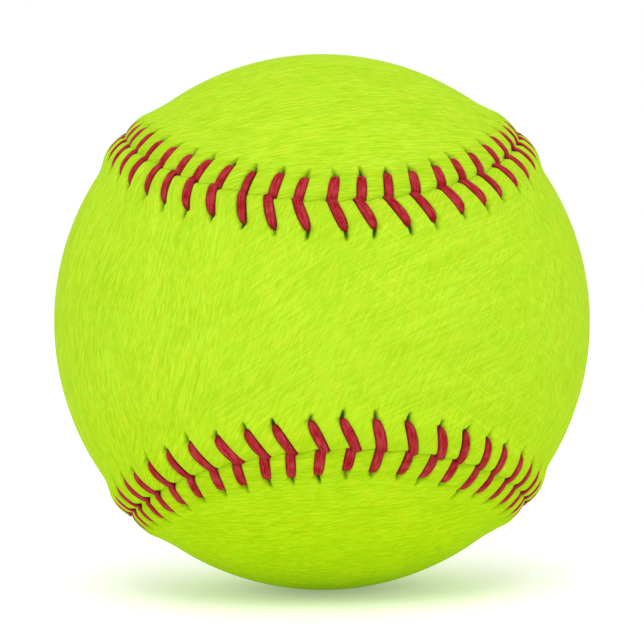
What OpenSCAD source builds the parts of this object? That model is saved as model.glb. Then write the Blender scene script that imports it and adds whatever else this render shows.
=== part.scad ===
// A laced baseball, taken apart layer by layer: the cushioned cork pill, four yarn windings,
// two figure-eight leather panels and the two ends of the waxed thread that lace them.
// The ball's centre is the origin, +Z is up and the narrow waist of the front panel faces -Y.

/* [Ball] */
// Diameter over the leather, away from the seam
ball_d = 73.8; // [72.8:0.1:74.8]

/* [Pill] */
// Diameter of the rubberised cork core
cork_d = 20.6; // [19:0.1:22]
// Wall of the two black rubber shells
black_wall = 4; // [3.2:0.1:4.8]
// Thickness of the gasket between the rims of the black shells
gasket_h = 1.6; // [0.8:0.1:3]
// Wall of the red rubber moulded round the black shells
red_wall = 2.4; // [1.8:0.1:3.2]
// Thickness of the cement brushed on the finished pill
pill_cement_t = 0.15; // [0.1:0.05:0.4]

/* [Windings] */
// Wall of the second winding, white three-ply wool
second_wall = 1.8; // [1.4:0.1:2.4]
// Wall of the third winding, grey three-ply wool
third_wall = 2.3; // [1.8:0.1:3]
// Wall of the fourth winding, fine white cotton
fourth_wall = 0.6; // [0.4:0.05:1]
// Thickness of the rubber cement under the leather
cover_cement_t = 0.15; // [0.1:0.05:0.3]

/* [Leather] */
// Thickness of the leather
leather_t = 1.25; // [1.1:0.05:1.4]
// Width of the waist of a panel, from seam to seam along the leather
waist_w = 31.4; // [29:0.1:34]
// Angle by which the seam leans back where it passes from the front of the ball to the rear
seam_lean = 7.6; // [4:0.1:12]
// Gap between the edges of the two panels
seam_gap = 0.1; // [0.06:0.02:0.2]
// Height of the raised welt beside the seam
welt_h = 1.05; // [0.9:0.05:1.3]
// Distance from the seam to the crest of the welt
crest_d = 2.4; // [2.2:0.1:2.8]
// Distance from the seam to the foot of the welt
welt_w = 6.4; // [5.9:0.1:7]
// Depth of the valley along the seam, below the crest
seam_dip = 0.5; // [0.3:0.05:0.6]

/* [Stitching] */
// Stitches round the whole seam, an even number because two needles take turns
stitch_count = 108; // [104:2:112]
// Distance of the needle holes from the seam on the front panel
front_hole_d = 4; // [3.7:0.1:4.2]
// Distance of the needle holes from the seam on the rear panel
rear_hole_d = 3.1; // [2.9:0.1:3.6]
// How far a leg on the front panel slants along the seam
front_slant = 2; // [1.9:0.05:2.1]
// How far a leg on the rear panel slants along the seam
rear_slant = 0.85; // [0.75:0.05:0.95]
// Width of a leg of thread where it lies on the leather
leg_w = 1.2; // [1:0.05:1.3]
// Height of a leg of thread above the leather
leg_h = 0.7; // [0.55:0.05:0.8]
// Width of the thread where it is drawn together in a hole or in the seam
neck_w = 0.8; // [0.7:0.05:0.9]
// Height of the thread where it is pressed flat under the leather
flat_h = 0.45; // [0.3:0.05:0.5]

/* [Fits] */
// Clearance between one layer and the next
layer_fit = 0.03; // [0.02:0.01:0.05]
// Clearance between a leg of thread and the leather under it
leg_fit = 0.08; // [0.05:0.01:0.12]
// Clearance round the thread in a needle hole
hole_fit = 0.2; // [0.15:0.05:0.3]
// Clearance above and below the thread under the leather
bed_fit = 0.08; // [0.05:0.01:0.12]

/* [Hidden] */

// Facets of the round surfaces
$fn = 144;
// Facets of the bores
bore_facets = 24;

// Radii of the layers: the pill from the inside out
black_ri = cork_d / 2 + layer_fit;
black_ro = black_ri + black_wall;
red_ri = black_ro + layer_fit;
red_ro = red_ri + red_wall;
pill_cement_ri = red_ro + layer_fit;
pill_cement_ro = pill_cement_ri + pill_cement_t;
// The cover and the outer windings from the outside in, so that the first winding fills what is left
ball_r = ball_d / 2;
cover_ri = ball_r - leather_t;
cement_ro = cover_ri - layer_fit;
cement_ri = cement_ro - cover_cement_t;
fourth_ro = cement_ri - layer_fit;
fourth_ri = fourth_ro - fourth_wall;
third_ro = fourth_ri - layer_fit;
third_ri = third_ro - third_wall;
second_ro = third_ri - layer_fit;
second_ri = second_ro - second_wall;
first_ro = second_ri - layer_fit;
first_ri = pill_cement_ro + layer_fit;

// Shape of the seam, set by the waist's half angle and by the lean
waist_half = waist_w / ball_d * 180 / PI;
sway = 0.5 / (1 + tan(seam_lean) / tan(waist_half));
seam_a = (1 + sway) / 2;
seam_b = (1 - sway) / 2;
seam_c = sway / tan(waist_half);

function unit(v) = v / norm(v);
// Direction of the seam from the centre: 0 degrees is the middle of the upper front seam
function seam_dir(u) = unit([
  seam_a * sin(u) + seam_b * sin(3 * u),
  -seam_c * cos(2 * u),
  seam_a * cos(u) - seam_b * cos(3 * u)
]);
tangent_step = 0.05;
function seam_tangent(u) = unit(seam_dir(u + tangent_step) - seam_dir(u - tangent_step));

// Distance along the seam, added up from short chords, and the angle at each distance
chord_count = 720;
chord_angle = 360 / chord_count;
chords = [
  for (i = [0:chord_count]) ball_r * norm(seam_dir((i + 1) * chord_angle) - seam_dir(i * chord_angle))
];
seam_table = [for (i = 0, s = 0; i <= chord_count; s = s + chords[i], i = i + 1) [s, i * chord_angle]];
seam_len = seam_table[chord_count][0];
pitch = seam_len / stitch_count;
function seam_angle(s) = lookup(s - seam_len * floor(s / seam_len), seam_table);

// A point at distance s along the seam and d across it, positive towards the rear panel
function on_ball(s, d, r) =
  let (
    u = seam_angle(s),
    out = seam_dir(u),
    across = cross(out, seam_tangent(u)),
    turn = d / ball_r * 180 / PI
  )
  r * (out * cos(turn) + across * sin(turn));

// Height of the welt at distance d from the seam
function welt_rise(d) =
  d < crest_d
    ? welt_h - seam_dip * pow(1 - d / crest_d, 2)
    : welt_h * (1 + cos(180 * (d - crest_d) / (welt_w - crest_d))) / 2;
// Bore of the needle holes
hole_bore = max(neck_w, leg_h) + 2 * hole_fit;
// The welt's section is drawn with straight runs between these distances, its flank clear of the holes
shoulder_share = 0.4;
shoulder_d = crest_d * shoulder_share;
flank_d = max(front_hole_d, rear_hole_d) + hole_bore;
welt_stops = [0, shoulder_d, crest_d, flank_d, welt_w];
welt_line = [for (d = welt_stops) [d, welt_rise(d)]];
function welt_top(d) = ball_r + lookup(d, welt_line);

// Stitches: hole_d and slant of each panel, with side -1 for the front panel and 1 for the rear
function hole_d(side) = side < 0 ? front_hole_d : rear_hole_d;
function slant(side) = side < 0 ? front_slant : rear_slant;
// The two legs of a stitch pass down through one notch in the seam
notch_back = (front_slant + rear_slant) / 2;
// A leg goes down just past the seam line
dive_past = 0.2;
notch_d = front_slant - rear_slant + neck_w + 2 * hole_fit;
bed_r = cement_ro + bed_fit + flat_h / 2;
// Room under the welt for the thread that is pressed flat there
bed_room = 2 * bed_fit;

// Where the welt's facets meet, as a share of the way from one needle hole to the next
ring_phase = 0.37;

// A solid that follows the whole seam, with a section of [distance, radius] points
module seam_ring(section, side) {
  corners = len(section);
  stations = stitch_count;
  points = [
    for (i = [0:stations - 1])
      for (q = section) on_ball((i + ring_phase) * pitch, side * q[0], q[1])
  ];
  function at(i, k) = (i % stations) * corners + k % corners;
  turned = [
    for (i = [0:stations - 1])
      for (k = [0:corners - 1])
        each [
          [at(i, k), at(i, k + 1), at(i + 1, k + 1)],
          [at(i, k), at(i + 1, k + 1), at(i + 1, k)]
        ]
  ];
  polyhedron(points, side < 0 ? turned : [for (f = turned) [f[2], f[1], f[0]]]);
}

// Everything on one side of the seam, as a cone from the ball's centre
module seam_side(side) {
  stations = 2 * stitch_count;
  quarter = stations / 4;
  // Far enough out for the flat strips of the cap to clear the welt
  reach = 1.3 * (ball_r + welt_h);
  strips = 6;
  rows = stations / 2 - 1;
  // The front panel is symmetric about Z, the rear panel about X
  first = side < 0 ? 1 - quarter : 1;
  partner = side < 0 ? stations / 2 : stations;
  function edge(i) = on_ball(i * seam_len / stations, side * seam_gap / 2, reach);
  points = [
    [0, 0, 0],
    edge(first - 1),
    edge(first + rows),
    for (i = [first:first + rows - 1])
      for (k = [0:strips]) reach * unit(edge(i) * (1 - k / strips) + edge(partner - i) * k / strips)
  ];
  function at(row, k) = row < 0 ? 1 : row >= rows ? 2 : 3 + row * (strips + 1) + k;
  cap = [
    for (row = [0:rows - 2])
      for (k = [0:strips - 1])
        each [
          [at(row, k), at(row, k + 1), at(row + 1, k + 1)],
          [at(row, k), at(row + 1, k + 1), at(row + 1, k)]
        ]
  ];
  tips = [
    for (k = [0:strips - 1])
      each [[1, at(0, k + 1), at(0, k)], [2, at(rows - 1, k), at(rows - 1, k + 1)]]
  ];
  walls = [
    for (row = [-1:rows - 1])
      each [[0, at(row, 0), at(row + 1, 0)], [0, at(row + 1, strips), at(row, strips)]]
  ];
  faces = [each cap, each tips, each walls];
  polyhedron(points, side > 0 ? faces : [for (f = faces) [f[2], f[1], f[0]]]);
}

// A round bore along a radius of the ball
module radial_bore(place, bore_d) {
  rotate([0, acos(place[2] / norm(place)), atan2(place[1], place[0])])
    translate([0, 0, cement_ro - leather_t])
      cylinder(d = bore_d, h = welt_h + 3 * leather_t, $fn = bore_facets);
}

module layer(inner, outer) {
  difference() {
    sphere(outer);
    sphere(inner);
  }
}

// One black rubber cup, with its rim held back by half the gasket
module black_cup() {
  rim_z = gasket_h / 2 + layer_fit;
  intersection() {
    layer(black_ri, black_ro);
    translate([-black_ro, -black_ro, rim_z])
      cube([2 * black_ro, 2 * black_ro, black_ro]);
  }
}

// The cover before it is cut, turned so that the sphere's poles fall on the other panel
module cover_layer(side) {
  quarter_turn = 90;
  if (side < 0) rotate([0, 0, quarter_turn]) layer(cover_ri, ball_r);
  else rotate(2 * quarter_turn, [1, 0, 1]) rotate([0, 0, quarter_turn]) layer(cover_ri, ball_r);
}

// One figure-eight panel: the shell with its welt, hollowed under the welt, holed and notched
module leather_panel(side) {
  sink = leather_t / 3;
  over = shoulder_d / 2;
  foot_d = welt_w + sink * (welt_w - flank_d) / welt_rise(flank_d);
  rising = [for (i = [len(welt_line) - 2:-1:1]) welt_line[i]];
  welt = [
    [foot_d, ball_r - sink],
    for (q = rising) [q[0], ball_r + q[1]],
    [-over, welt_top(0)],
    [-over, ball_r - sink]
  ];
  bed = [
    [foot_d - leather_t, cover_ri - sink],
    for (q = rising) [q[0], cover_ri + q[1] + bed_room],
    [-over, cover_ri + welt_rise(0) + bed_room],
    [-over, cover_ri - sink]
  ];
  difference() {
    intersection() {
      union() {
        cover_layer(side);
        seam_ring(welt, side);
      }
      seam_side(side);
    }
    seam_ring(bed, side);
    for (k = [0:stitch_count - 1]) {
      radial_bore(on_ball(k * pitch, side * hole_d(side), ball_r), hole_bore);
      radial_bore(on_ball(k * pitch - notch_back, 0, ball_r), notch_d);
    }
  }
}

// One needle's end of the thread: up through a hole, over the leather, down through the seam and
// under the other panel to its next hole, all round the ball and back to its first hole
module needle_thread(first_side) {
  sides = 5;
  lift = leg_h / 2 + leg_fit;
  // A leg swells from its neck to its full width over the crest
  function swell(d) = neck_w + (leg_w - neck_w) * sqrt(d / crest_d);
  // Each ring is distance along the seam, distance across it, radius, width and height
  rings = [
    for (n = [0:stitch_count - 1])
      let (
        side = n % 2 == 0 ? first_side : -first_side,
        hole = hole_d(side),
        s_hole = -n * pitch,
        s_dive = s_hole - slant(side),
        dive = -side * dive_past
      )
      each [
        [s_hole, side * hole, bed_r, neck_w, flat_h],
        [s_hole, side * hole, welt_top(hole) + lift, neck_w, leg_h],
        for (d = [crest_d, shoulder_d])
          [s_dive + slant(side) * d / hole, side * d, welt_top(d) + lift, swell(d), leg_h],
        [s_dive, dive, welt_top(0) + lift / 2, neck_w, leg_h],
        [s_dive, dive, bed_r, neck_w, flat_h]
      ]
  ];
  count = len(rings);
  path = [for (q = rings) on_ball(q[0], q[1], q[2])];
  points = [
    for (i = [0:count - 1])
      let (
        along = unit(path[(i + 1) % count] - path[(i + count - 1) % count]),
        seam = seam_tangent(seam_angle(rings[i][0])),
        wide = unit(seam - along * (seam * along)),
        high = cross(along, wide),
        half_w = rings[i][3] / 2,
        half_h = rings[i][4] / 2 / sin(360 / sides)
      )
      for (k = [0:sides - 1])
        path[i] + wide * half_w * cos(k * 360 / sides) + high * half_h * sin(k * 360 / sides)
  ];
  function at(i, k) = (i % count) * sides + k % sides;
  faces = [
    for (i = [0:count - 1])
      for (k = [0:sides - 1])
        each [
          [at(i, k), at(i + 1, k + 1), at(i, k + 1)],
          [at(i, k), at(i + 1, k), at(i + 1, k + 1)]
        ]
  ];
  polyhedron(points, faces);
}

module cork_core() {
  color("tan") sphere(d = cork_d);
}

module black_shell_upper() {
  color("dimgray") black_cup();
}

module black_shell_lower() {
  color("dimgray") mirror([0, 0, 1]) black_cup();
}

module rim_gasket() {
  color("firebrick") intersection() {
    layer(black_ri, black_ro);
    translate([0, 0, -gasket_h / 2])
      cylinder(r = black_ro + red_wall, h = gasket_h);
  }
}

module red_cover() {
  color("indianred") layer(red_ri, red_ro);
}

module pill_cement() {
  color("beige") layer(pill_cement_ri, pill_cement_ro);
}

module first_winding() {
  color("slategray") layer(first_ri, first_ro);
}

module second_winding() {
  color("ivory") layer(second_ri, second_ro);
}

module third_winding() {
  color("lightslategray") layer(third_ri, third_ro);
}

module fourth_winding() {
  color("whitesmoke") layer(fourth_ri, fourth_ro);
}

module cover_cement() {
  color("cornsilk") layer(cement_ri, cement_ro);
}

module front_panel() {
  color("greenyellow") leather_panel(-1);
}

module rear_panel() {
  color("greenyellow") leather_panel(1);
}

module thread_first_needle() {
  color("crimson") needle_thread(-1);
}

module thread_second_needle() {
  color("crimson") needle_thread(1);
}

cork_core();
black_shell_upper();
black_shell_lower();
rim_gasket();
red_cover();
pill_cement();
first_winding();
second_winding();
third_winding();
fourth_winding();
cover_cement();
front_panel();
rear_panel();
thread_first_needle();
thread_second_needle();
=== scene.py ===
"""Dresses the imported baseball: laced leather panels, waxed thread, wound yarn and the pill inside.

Shapes are worked out in millimetres on the seam's own coordinates: s runs along the seam, d across
it, positive towards the rear panel. The meshes are made in metres, in the frame of the CAD model.
"""
import math

import bpy
import numpy as np
from mathutils import Matrix, Vector


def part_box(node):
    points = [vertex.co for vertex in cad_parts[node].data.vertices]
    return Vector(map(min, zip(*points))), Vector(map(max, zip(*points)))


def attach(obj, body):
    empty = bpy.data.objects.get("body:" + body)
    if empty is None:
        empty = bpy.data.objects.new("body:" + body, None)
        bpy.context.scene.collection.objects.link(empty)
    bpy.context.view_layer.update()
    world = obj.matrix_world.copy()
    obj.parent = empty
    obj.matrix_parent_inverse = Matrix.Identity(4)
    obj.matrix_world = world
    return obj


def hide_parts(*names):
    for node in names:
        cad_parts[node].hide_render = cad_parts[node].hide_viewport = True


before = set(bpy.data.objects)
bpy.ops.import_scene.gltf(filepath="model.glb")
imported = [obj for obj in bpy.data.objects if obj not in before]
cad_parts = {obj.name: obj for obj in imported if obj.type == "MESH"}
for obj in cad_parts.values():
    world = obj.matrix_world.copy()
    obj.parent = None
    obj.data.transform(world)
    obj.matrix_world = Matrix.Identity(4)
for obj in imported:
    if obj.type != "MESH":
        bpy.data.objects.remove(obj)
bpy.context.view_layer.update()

MM = 0.001
FRONT, REAR = -1, 1
BALL_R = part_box("front_panel")[1][0] / MM

# The seam, as in the CAD model
WAIST_W = 31.4
SEAM_LEAN = math.radians(7.6)
STITCHES = 108
SEAM_STEPS = 7200
TANGENT_STEP = 0.0005

# The leather: its thickness, its height at the seam and at the welt's crest, and the distances from the
# seam to the crest and to the foot of the welt
LEATHER_T = 1.25
SEAM_H = 0.48
WELT_H = {FRONT: 0.80, REAR: 0.62}
CREST_D = 2.3
WELT_W = {FRONT: 6.9, REAR: 7.7}

# Room under the leather for the thread: its depth, where it ends, and the radius that the thread runs at
BED_ROOM = 0.16
BED_END = (4.6, 6.4)
BED_LIFT = 0.275
BED_R = BALL_R - LEATHER_T + BED_LIFT

# Needle holes of each panel: distance from the seam, and shift along it
HOLE_D = {FRONT: 4.0, REAR: 3.3}
HOLE_SHIFT = {FRONT: 0.1, REAR: -0.4}
# Slant of the legs at the middle of the panels' waists, how much of it is lost round their lobes, and
# the distances along the seam between which it is lost
SLANT = {FRONT: 1.6, REAR: 0.58}
SLANT_LOST = {FRONT: 0.75, REAR: 0.4}
WAIST_END = 4.0
LOBE_START = 33.0

# Seed of the lacing's unevenness
SEED = 108
rng = np.random.default_rng(SEED)


def unit(v):
    return v / np.linalg.norm(v, axis=-1, keepdims=True)


def smooth(x, start, end):
    """0 before start, 1 after end, with an eased step between them."""
    t = np.clip((x - start) / (end - start), 0.0, 1.0)
    return t * t * (3.0 - 2.0 * t)


def bell(x, width, power=2):
    """1 at 0, falling off over a width to both sides, more squarely with a higher power."""
    return np.exp(-np.abs(x / width) ** power)


def seam_dir(u):
    """Direction of the seam from the centre at angle u, in radians."""
    half = WAIST_W / (2 * BALL_R)
    sway = 0.5 / (1 + math.tan(SEAM_LEAN) / math.tan(half))
    a, b, c = (1 + sway) / 2, (1 - sway) / 2, sway / math.tan(half)
    x = a * np.sin(u) + b * np.sin(3 * u)
    y = -c * np.cos(2 * u)
    z = a * np.cos(u) - b * np.cos(3 * u)
    return unit(np.stack([x, y, z], axis=-1))


SEAM_U = np.linspace(0.0, 2 * math.pi, SEAM_STEPS + 1)
chords = BALL_R * np.linalg.norm(np.diff(seam_dir(SEAM_U), axis=0), axis=1)
SEAM_S = np.concatenate([[0.0], np.cumsum(chords)])
SEAM_LEN = SEAM_S[-1]
PITCH = SEAM_LEN / STITCHES


def seam_frame(s):
    """Directions outward, along the seam and across it at distances s."""
    u = np.interp(np.mod(s, SEAM_LEN), SEAM_S, SEAM_U)
    out = seam_dir(u)
    along = unit(seam_dir(u + TANGENT_STEP) - seam_dir(u - TANGENT_STEP))
    return out, along, np.cross(out, along)


def on_ball(s, d, r):
    """Points at distance s along the seam, d across it and radius r."""
    out, _, across = seam_frame(s)
    turn = (d / BALL_R)[..., None]
    return r[..., None] * (out * np.cos(turn) + across * np.sin(turn))


def welt_rise(side, d):
    """Height of the welt above the ball at distance d from the seam."""
    top = WELT_H[side]
    inner = top - (top - SEAM_H) * (1 - d / CREST_D) ** 2
    turn = np.clip((d - CREST_D) / (WELT_W[side] - CREST_D), 0.0, 1.0)
    return np.where(d < CREST_D, inner, top * (1 + np.cos(math.pi * turn)) / 2)


def mean_slant(side, s):
    """How far a leg at distance s along the seam slants, without the unevenness."""
    quarter = SEAM_LEN / 4
    from_waist = np.abs(np.mod(s + quarter / 2, quarter) - quarter / 2)
    return SLANT[side] - SLANT_LOST[side] * smooth(from_waist, WAIST_END, LOBE_START)


# Hand lacing is never quite even: each leg has its own hole, slant, width and slit
HOLE_SPREAD = 0.15
SLANT_SPREAD = 0.16
LEG_HALF_W = 0.74
LEG_W_SPREAD = 0.07
SLIT = 1.15
SLIT_SPREAD = 0.25
DRIFT_SPREAD = 0.18
# Each needle hole's painted shade has its own strength, at least this much
LEAST_HOLE_SHADE = 0.6


def uneven(spread):
    """A random difference for each stitch."""
    return rng.normal(0.0, spread, STITCHES)


LEGS = {
    side: {
        "s": HOLE_SHIFT[side] + uneven(HOLE_SPREAD),
        "d": HOLE_D[side] + uneven(HOLE_SPREAD),
        "slant": mean_slant(side, np.arange(STITCHES) * PITCH) + uneven(SLANT_SPREAD),
        "half_w": LEG_HALF_W + uneven(LEG_W_SPREAD),
        "slit": SLIT + uneven(SLIT_SPREAD),
        "drift": uneven(DRIFT_SPREAD),
        # Strength of each needle hole's painted shade
        "dark": rng.uniform(LEAST_HOLE_SHADE, 1.0, STITCHES),
    }
    for side in (FRONT, REAR)
}
# How far a leg bows out of its straight line, towards lower s
BOW = 0.05


def leg_line(side, k, d):
    """Distance along the seam of leg k of a panel at distance d from the seam."""
    legs = LEGS[side]
    i = np.mod(k, STITCHES)
    t = np.minimum(d / legs["d"][i], 1.0)
    bow = BOW * np.sin(math.pi * np.maximum(t, 0.0))
    return k * PITCH + legs["s"][i] - legs["slant"][i] * (1 - t) - bow


def mean_line(side, s, d):
    """Distance along the seam from a stitch's place s to its leg, without the unevenness."""
    t = np.minimum(d / HOLE_D[side], 1.0)
    return HOLE_SHIFT[side] - mean_slant(side, s) * (1 - t) - BOW * np.sin(math.pi * t)


def junction_share():
    """Where the two legs of a stitch meet, as a share of the way to the next needle hole."""
    ends = [HOLE_SHIFT[side] - SLANT[side] for side in (FRONT, REAR)]
    return sum(ends) / 2 / PITCH


# The seam line is drawn towards the front panel beside each pair of legs: how far, the shares of a
# pitch over which the pull starts and ends, the share of it that leaves the line on the true seam, and
# how far from the seam the leather follows
SEAM_PULL = 0.34
PULL_START = (-0.08, 0.16)
PULL_END = (0.2, 0.85)
PULL_REST = 0.28
PULL_REACH = 1.1


def seam_wander(s):
    """How far the seam line strays across, positive towards the rear panel."""
    x = np.mod((s + SLANT[REAR] - HOLE_SHIFT[REAR]) / PITCH, 1.0)
    pull = smooth(x, *PULL_START) * (1 - smooth(x, *PULL_END))
    return SEAM_PULL * (PULL_REST - pull)


# Groove that a leg presses into the leather: depth, half width, squareness, and its end past the hole
GROOVE = 0.68
GROOVE_W = 0.57
GROOVE_SQUARE = 4.4
GROOVE_END = (-0.1, 0.5)
# Pillow between two legs: height, power that shapes it, its start at the seam and its end past the hole
PILLOW = 0.215
PLUMP = 0.72
PILLOW_START = (-0.2, 0.9)
PILLOW_END = (-0.6, 1.8)
# Notch where the two legs of a stitch go down into the seam: depth, and half width along and across
NOTCH = 0.42
NOTCH_S = 0.8
NOTCH_D = 0.45
# Needle hole, drawn out into a slit: depth, half width, how much narrower it ends, squareness, start
HOLE_DEEP = 0.8
HOLE_W = 0.33
HOLE_TAPER = 0.55
HOLE_SQUARE = 3
HOLE_START = (-0.45, -0.1)
# Shallow crease that runs on past the slit: depth, half width, start and end
TAIL = 0.13
TAIL_W = 0.5
TAIL_START = (0.2, 0.9)
TAIL_END = (1.5, 4.2)
# Crease along the seam, and a dark line of painted shade in it
SEAM_CREASE = 0.07
SEAM_CREASE_W = 0.12
SEAM_LINE_SHADE = 0.36
SEAM_LINE_SHADE_W = 0.07
# Painted shade: the leather is a little darker in a band along the seam, fully up to one distance and not
# at all past another
SEAM_BAND_SHADE = {FRONT: 0.12, REAR: 0.2}
SEAM_BAND_FULL = 2.6
SEAM_BAND_END = 4.8


def needle_hole(slit, past, off):
    """Share of a hole's depth at a distance past the hole's place and off to one side of its slit."""
    run = np.clip(past / slit, 0.0, 1.0)
    hole = bell(off, HOLE_W * (1 - HOLE_TAPER * run), HOLE_SQUARE)
    return hole * (1 - run ** HOLE_SQUARE) * smooth(past, *HOLE_START)


def leather_relief(side, s, d):
    """Height above the smooth ball, and painted shade of the leather in its needle holes, along the seam
    line and in a band beside the seam, at distance d >= 0 from the seam.
    """
    legs = LEGS[side]
    k = np.rint((s - mean_line(side, s, d)) / PITCH).astype(int)
    i = np.mod(k, STITCHES)
    tilt = math.cos(math.atan2(SLANT[side], HOLE_D[side]))
    aside = (s - leg_line(side, k, d)) * tilt
    past = d - legs["d"][i]
    hole_s = k * PITCH + legs["s"][i]
    off = s - hole_s - legs["drift"][i] * np.maximum(past, 0.0)
    hole = needle_hole(legs["slit"][i], past, off)
    groove = GROOVE * bell(aside, GROOVE_W, GROOVE_SQUARE) * (1 - smooth(past, *GROOVE_END))
    tail = TAIL * bell(off, TAIL_W) * smooth(past, *TAIL_START) * (1 - smooth(past, *TAIL_END))
    between = 0.5 - 0.5 * np.cos(2 * math.pi * aside / (PITCH * tilt))
    pillow = PILLOW * between ** PLUMP * smooth(d, *PILLOW_START) * (1 - smooth(past, *PILLOW_END))
    beside = np.mod(s / PITCH - junction_share() + 0.5, 1.0) - 0.5
    notch = NOTCH * bell(beside * PITCH, NOTCH_S) * bell(d, NOTCH_D)
    crease = SEAM_CREASE * bell(d, SEAM_CREASE_W, 1)
    sunk = np.maximum(np.maximum(groove, HOLE_DEEP * hole), notch)
    rise = welt_rise(side, d) + pillow - sunk - tail - crease
    # Painted shade: a darker band along the seam
    band_shade = SEAM_BAND_SHADE[side] * (1 - smooth(d, SEAM_BAND_FULL, SEAM_BAND_END))
    # Painted shade: dark needle holes and slits, each at its own strength, and a dark seam line
    dark = np.maximum(hole * legs["dark"][i], SEAM_LINE_SHADE * bell(d, SEAM_LINE_SHADE_W))
    return rise, np.clip(np.maximum(dark, band_shade), 0.0, 1.0)


def make_object(name, points, faces, material):
    """A mesh object from points in millimetres and a list of faces."""
    mesh = bpy.data.meshes.new(name)
    mesh.from_pydata((points * MM).tolist(), [], faces)
    mesh.update()
    mesh.polygons.foreach_set("use_smooth", np.ones(len(mesh.polygons), dtype=bool))
    mesh.materials.append(material)
    piece = bpy.data.objects.new(name, mesh)
    bpy.context.scene.collection.objects.link(piece)
    return piece


def set_uv(piece, uv_by_corner):
    layer = piece.data.uv_layers.new(name="OFBake")
    layer.data.foreach_set("uv", np.asarray(uv_by_corner, dtype=np.float32).ravel())


def set_attribute(piece, name, values):
    layer = piece.data.attributes.new(name, "FLOAT", "POINT")
    layer.data.foreach_set("value", np.asarray(values, dtype=np.float32))


# Stations within one stitch, closer together at its leg, and rings out from the seam
HALF_STATIONS = (0.36, 0.27, 0.215, 0.175, 0.14, 0.105, 0.07, 0.035)
STATION = np.array([-0.5] + [-x for x in HALF_STATIONS] + [0.0] + list(HALF_STATIONS[::-1]))
RINGS = np.array([
    0.0, 0.06, 0.14, 0.25, 0.42, 0.62, 0.86, 1.12, 1.4, 1.68, 1.96, 2.22, 2.46, 2.68, 2.88, 3.06, 3.24,
    3.42, 3.6, 3.78, 3.94, 4.1, 4.26, 4.44, 4.64, 4.86, 5.1, 5.4, 5.8, 6.3, 6.9, 7.6,
])
INNER_RINGS = np.array([0.0, 2.3, 4.8, 7.6])
# Where the plain field of a panel starts, and its columns of faces outside and inside
FIELD_D = 8.4
OUTER_COLUMNS = 36
INNER_COLUMNS = 12
# Angles that a panel's flat map holds along the spine and across it
MAP_LONG = 2.08 * math.pi
MAP_HIGH = 1.25 * math.pi


def panel_stations():
    """Places of all stations along the seam, stitch by stitch."""
    s = (np.arange(STITCHES)[:, None] + STATION[None, :]) * PITCH
    return s.ravel()


def strip(lower, upper):
    """Quads between two closed rows of point numbers."""
    return np.stack([lower, np.roll(lower, -1), np.roll(upper, -1), upper], axis=1).tolist()


def halve(fine, coarse):
    """Faces between a closed row and one with half as many points."""
    a, b, c = fine[0::2], fine[1::2], np.roll(fine[0::2], -1)
    p, q = coarse, np.roll(coarse, -1)
    faces = np.stack([a, b, p], axis=1).tolist() + np.stack([b, c, q], axis=1).tolist()
    return faces + np.stack([b, q, p], axis=1).tolist()


def turned(faces):
    """The same faces, looking the other way."""
    return [face[::-1] for face in faces]


class Surface:
    """Points, their painted shade and the faces of one panel, collected ring by ring."""

    def __init__(self, side):
        self.side = side
        self.points, self.dark, self.faces = [], [], []
        self.count = 0

    def add(self, points, dark):
        numbers = np.arange(self.count, self.count + len(points))
        self.points.append(points)
        self.dark.append(dark)
        self.count += len(points)
        return numbers

    def ring(self, s, d, rise, dark):
        """Adds a closed row of points at distance d from the seam."""
        wander = seam_wander(s) * math.exp(-(d / PULL_REACH) ** 2)
        at = self.side * np.full_like(s, d) + wander
        return self.add(on_ball(s, at, BALL_R + rise), dark)

    def field(self, edge, columns):
        """Adds rows of points across the figure eight inside a closed row, and returns the faces."""
        total = len(edge)
        per_stitch = total // STITCHES
        mirror = per_stitch + (total // 2 if self.side == FRONT else 0)
        tip = mirror // 2
        ring = np.concatenate(self.points)[edge]
        rows, faces = [], []
        for step in range(1, total // 2):
            a, b = (tip + step) % total, (mirror - tip - step) % total
            share = np.linspace(0.0, 1.0, columns + 1)[1:-1, None]
            radius = np.linalg.norm(ring[a])
            inside = radius * unit(ring[a] * (1 - share) + ring[b] * share)
            numbers = self.add(inside, np.zeros(len(inside)))
            rows.append(np.concatenate([[edge[a]], numbers, [edge[b]]]))
        for low, high in zip(rows[:-1], rows[1:]):
            quads = np.stack([low[:-1], low[1:], high[1:], high[:-1]], axis=1)
            faces += quads[:, ::-1].tolist()
        far_tip = (tip + total // 2) % total
        for point, row, turn in ((edge[tip], rows[0], 1), (edge[far_tip], rows[-1], -1)):
            fans = np.stack([np.full(columns, point), row[:-1], row[1:]], axis=1)[:, ::turn]
            faces += fans.tolist()
        return faces


def add_outside(surface, stations):
    """Adds a panel's outer face and returns its row of points at the seam."""
    side, rows = surface.side, []
    for d in RINGS:
        s = stations + mean_line(side, stations, d)
        rise, dark = leather_relief(side, s, np.full_like(s, d))
        rows.append(surface.ring(s, d, rise, dark))
    for low, high in zip(rows[:-1], rows[1:]):
        surface.faces += strip(low, high)
    s_field = stations[0::2]
    flat = np.zeros(len(s_field))
    edge = surface.ring(s_field, FIELD_D, flat, flat)
    surface.faces += halve(rows[-1], edge)
    surface.faces += surface.field(edge, OUTER_COLUMNS)
    return rows[0]


def add_inside(surface, stations, seam_row):
    """Adds a panel's edge along the seam and its inner face."""
    side, rows = surface.side, []
    for d in INNER_RINGS:
        s = stations + mean_line(side, stations, d)
        room = BED_ROOM * (1 - smooth(d, *BED_END))
        under = welt_rise(side, np.full_like(s, d)) + room - LEATHER_T
        rows.append(surface.ring(s, d, under, np.zeros_like(s)))
    surface.faces += strip(rows[0], seam_row)
    for low, high in zip(rows[:-1], rows[1:]):
        surface.faces += strip(high, low)
    s_field = stations[0::2]
    flat = np.zeros(len(s_field))
    edge = surface.ring(s_field, FIELD_D, flat - LEATHER_T, flat)
    surface.faces += turned(halve(rows[-1], edge))
    surface.faces += turned(surface.field(edge, INNER_COLUMNS))


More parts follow.
